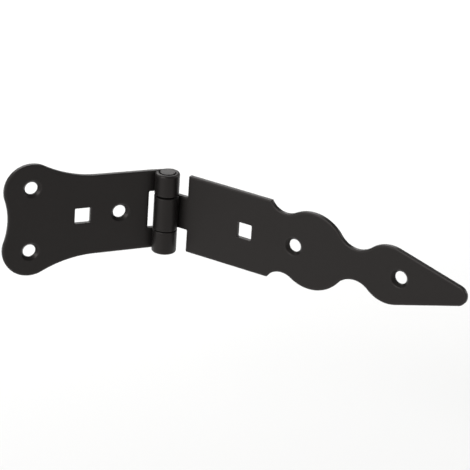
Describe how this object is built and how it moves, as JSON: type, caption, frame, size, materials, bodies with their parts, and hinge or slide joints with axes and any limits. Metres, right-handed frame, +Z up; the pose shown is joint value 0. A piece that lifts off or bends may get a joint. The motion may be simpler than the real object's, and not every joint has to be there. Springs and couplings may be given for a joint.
{
  "type": "strap hinge",
  "caption": "Ornamental strap hinge: a short lobed leaf and a long spear-ended leaf turn on a pin in rolled knuckles, with countersunk screw holes and square bolt holes.",
  "frame": {"origin": "on the pin's axis, at half the height of the leaves", "axes": "+Z up along the pin; +Y out of the back of the fixed leaf, into the post it is screwed to; -Y is the front with the countersinks; the fixed leaf lies along -X and the strap leaf on the +X side, swung 52.6 degrees forward"},
  "size_m": [0.1622, 0.1169, 0.0508],
  "materials": {
    "black_coating": "satin black powder coat, very fine orange peel"
  },
  "bodies": {
    "fixed_side": {"fixed_leaf": "black_coating", "hinge_pin": "black_coating"},
    "strap_side": {"strap_leaf": "black_coating"}
  },
  "joints": [
    {"name": "strap_swing", "type": "hinge", "parent": "fixed_side", "child": "strap_side", "pos_m": [0, 0, 0], "axis": [0, 0, -1], "range_deg": [-152.6, 131.4]}
  ]
}
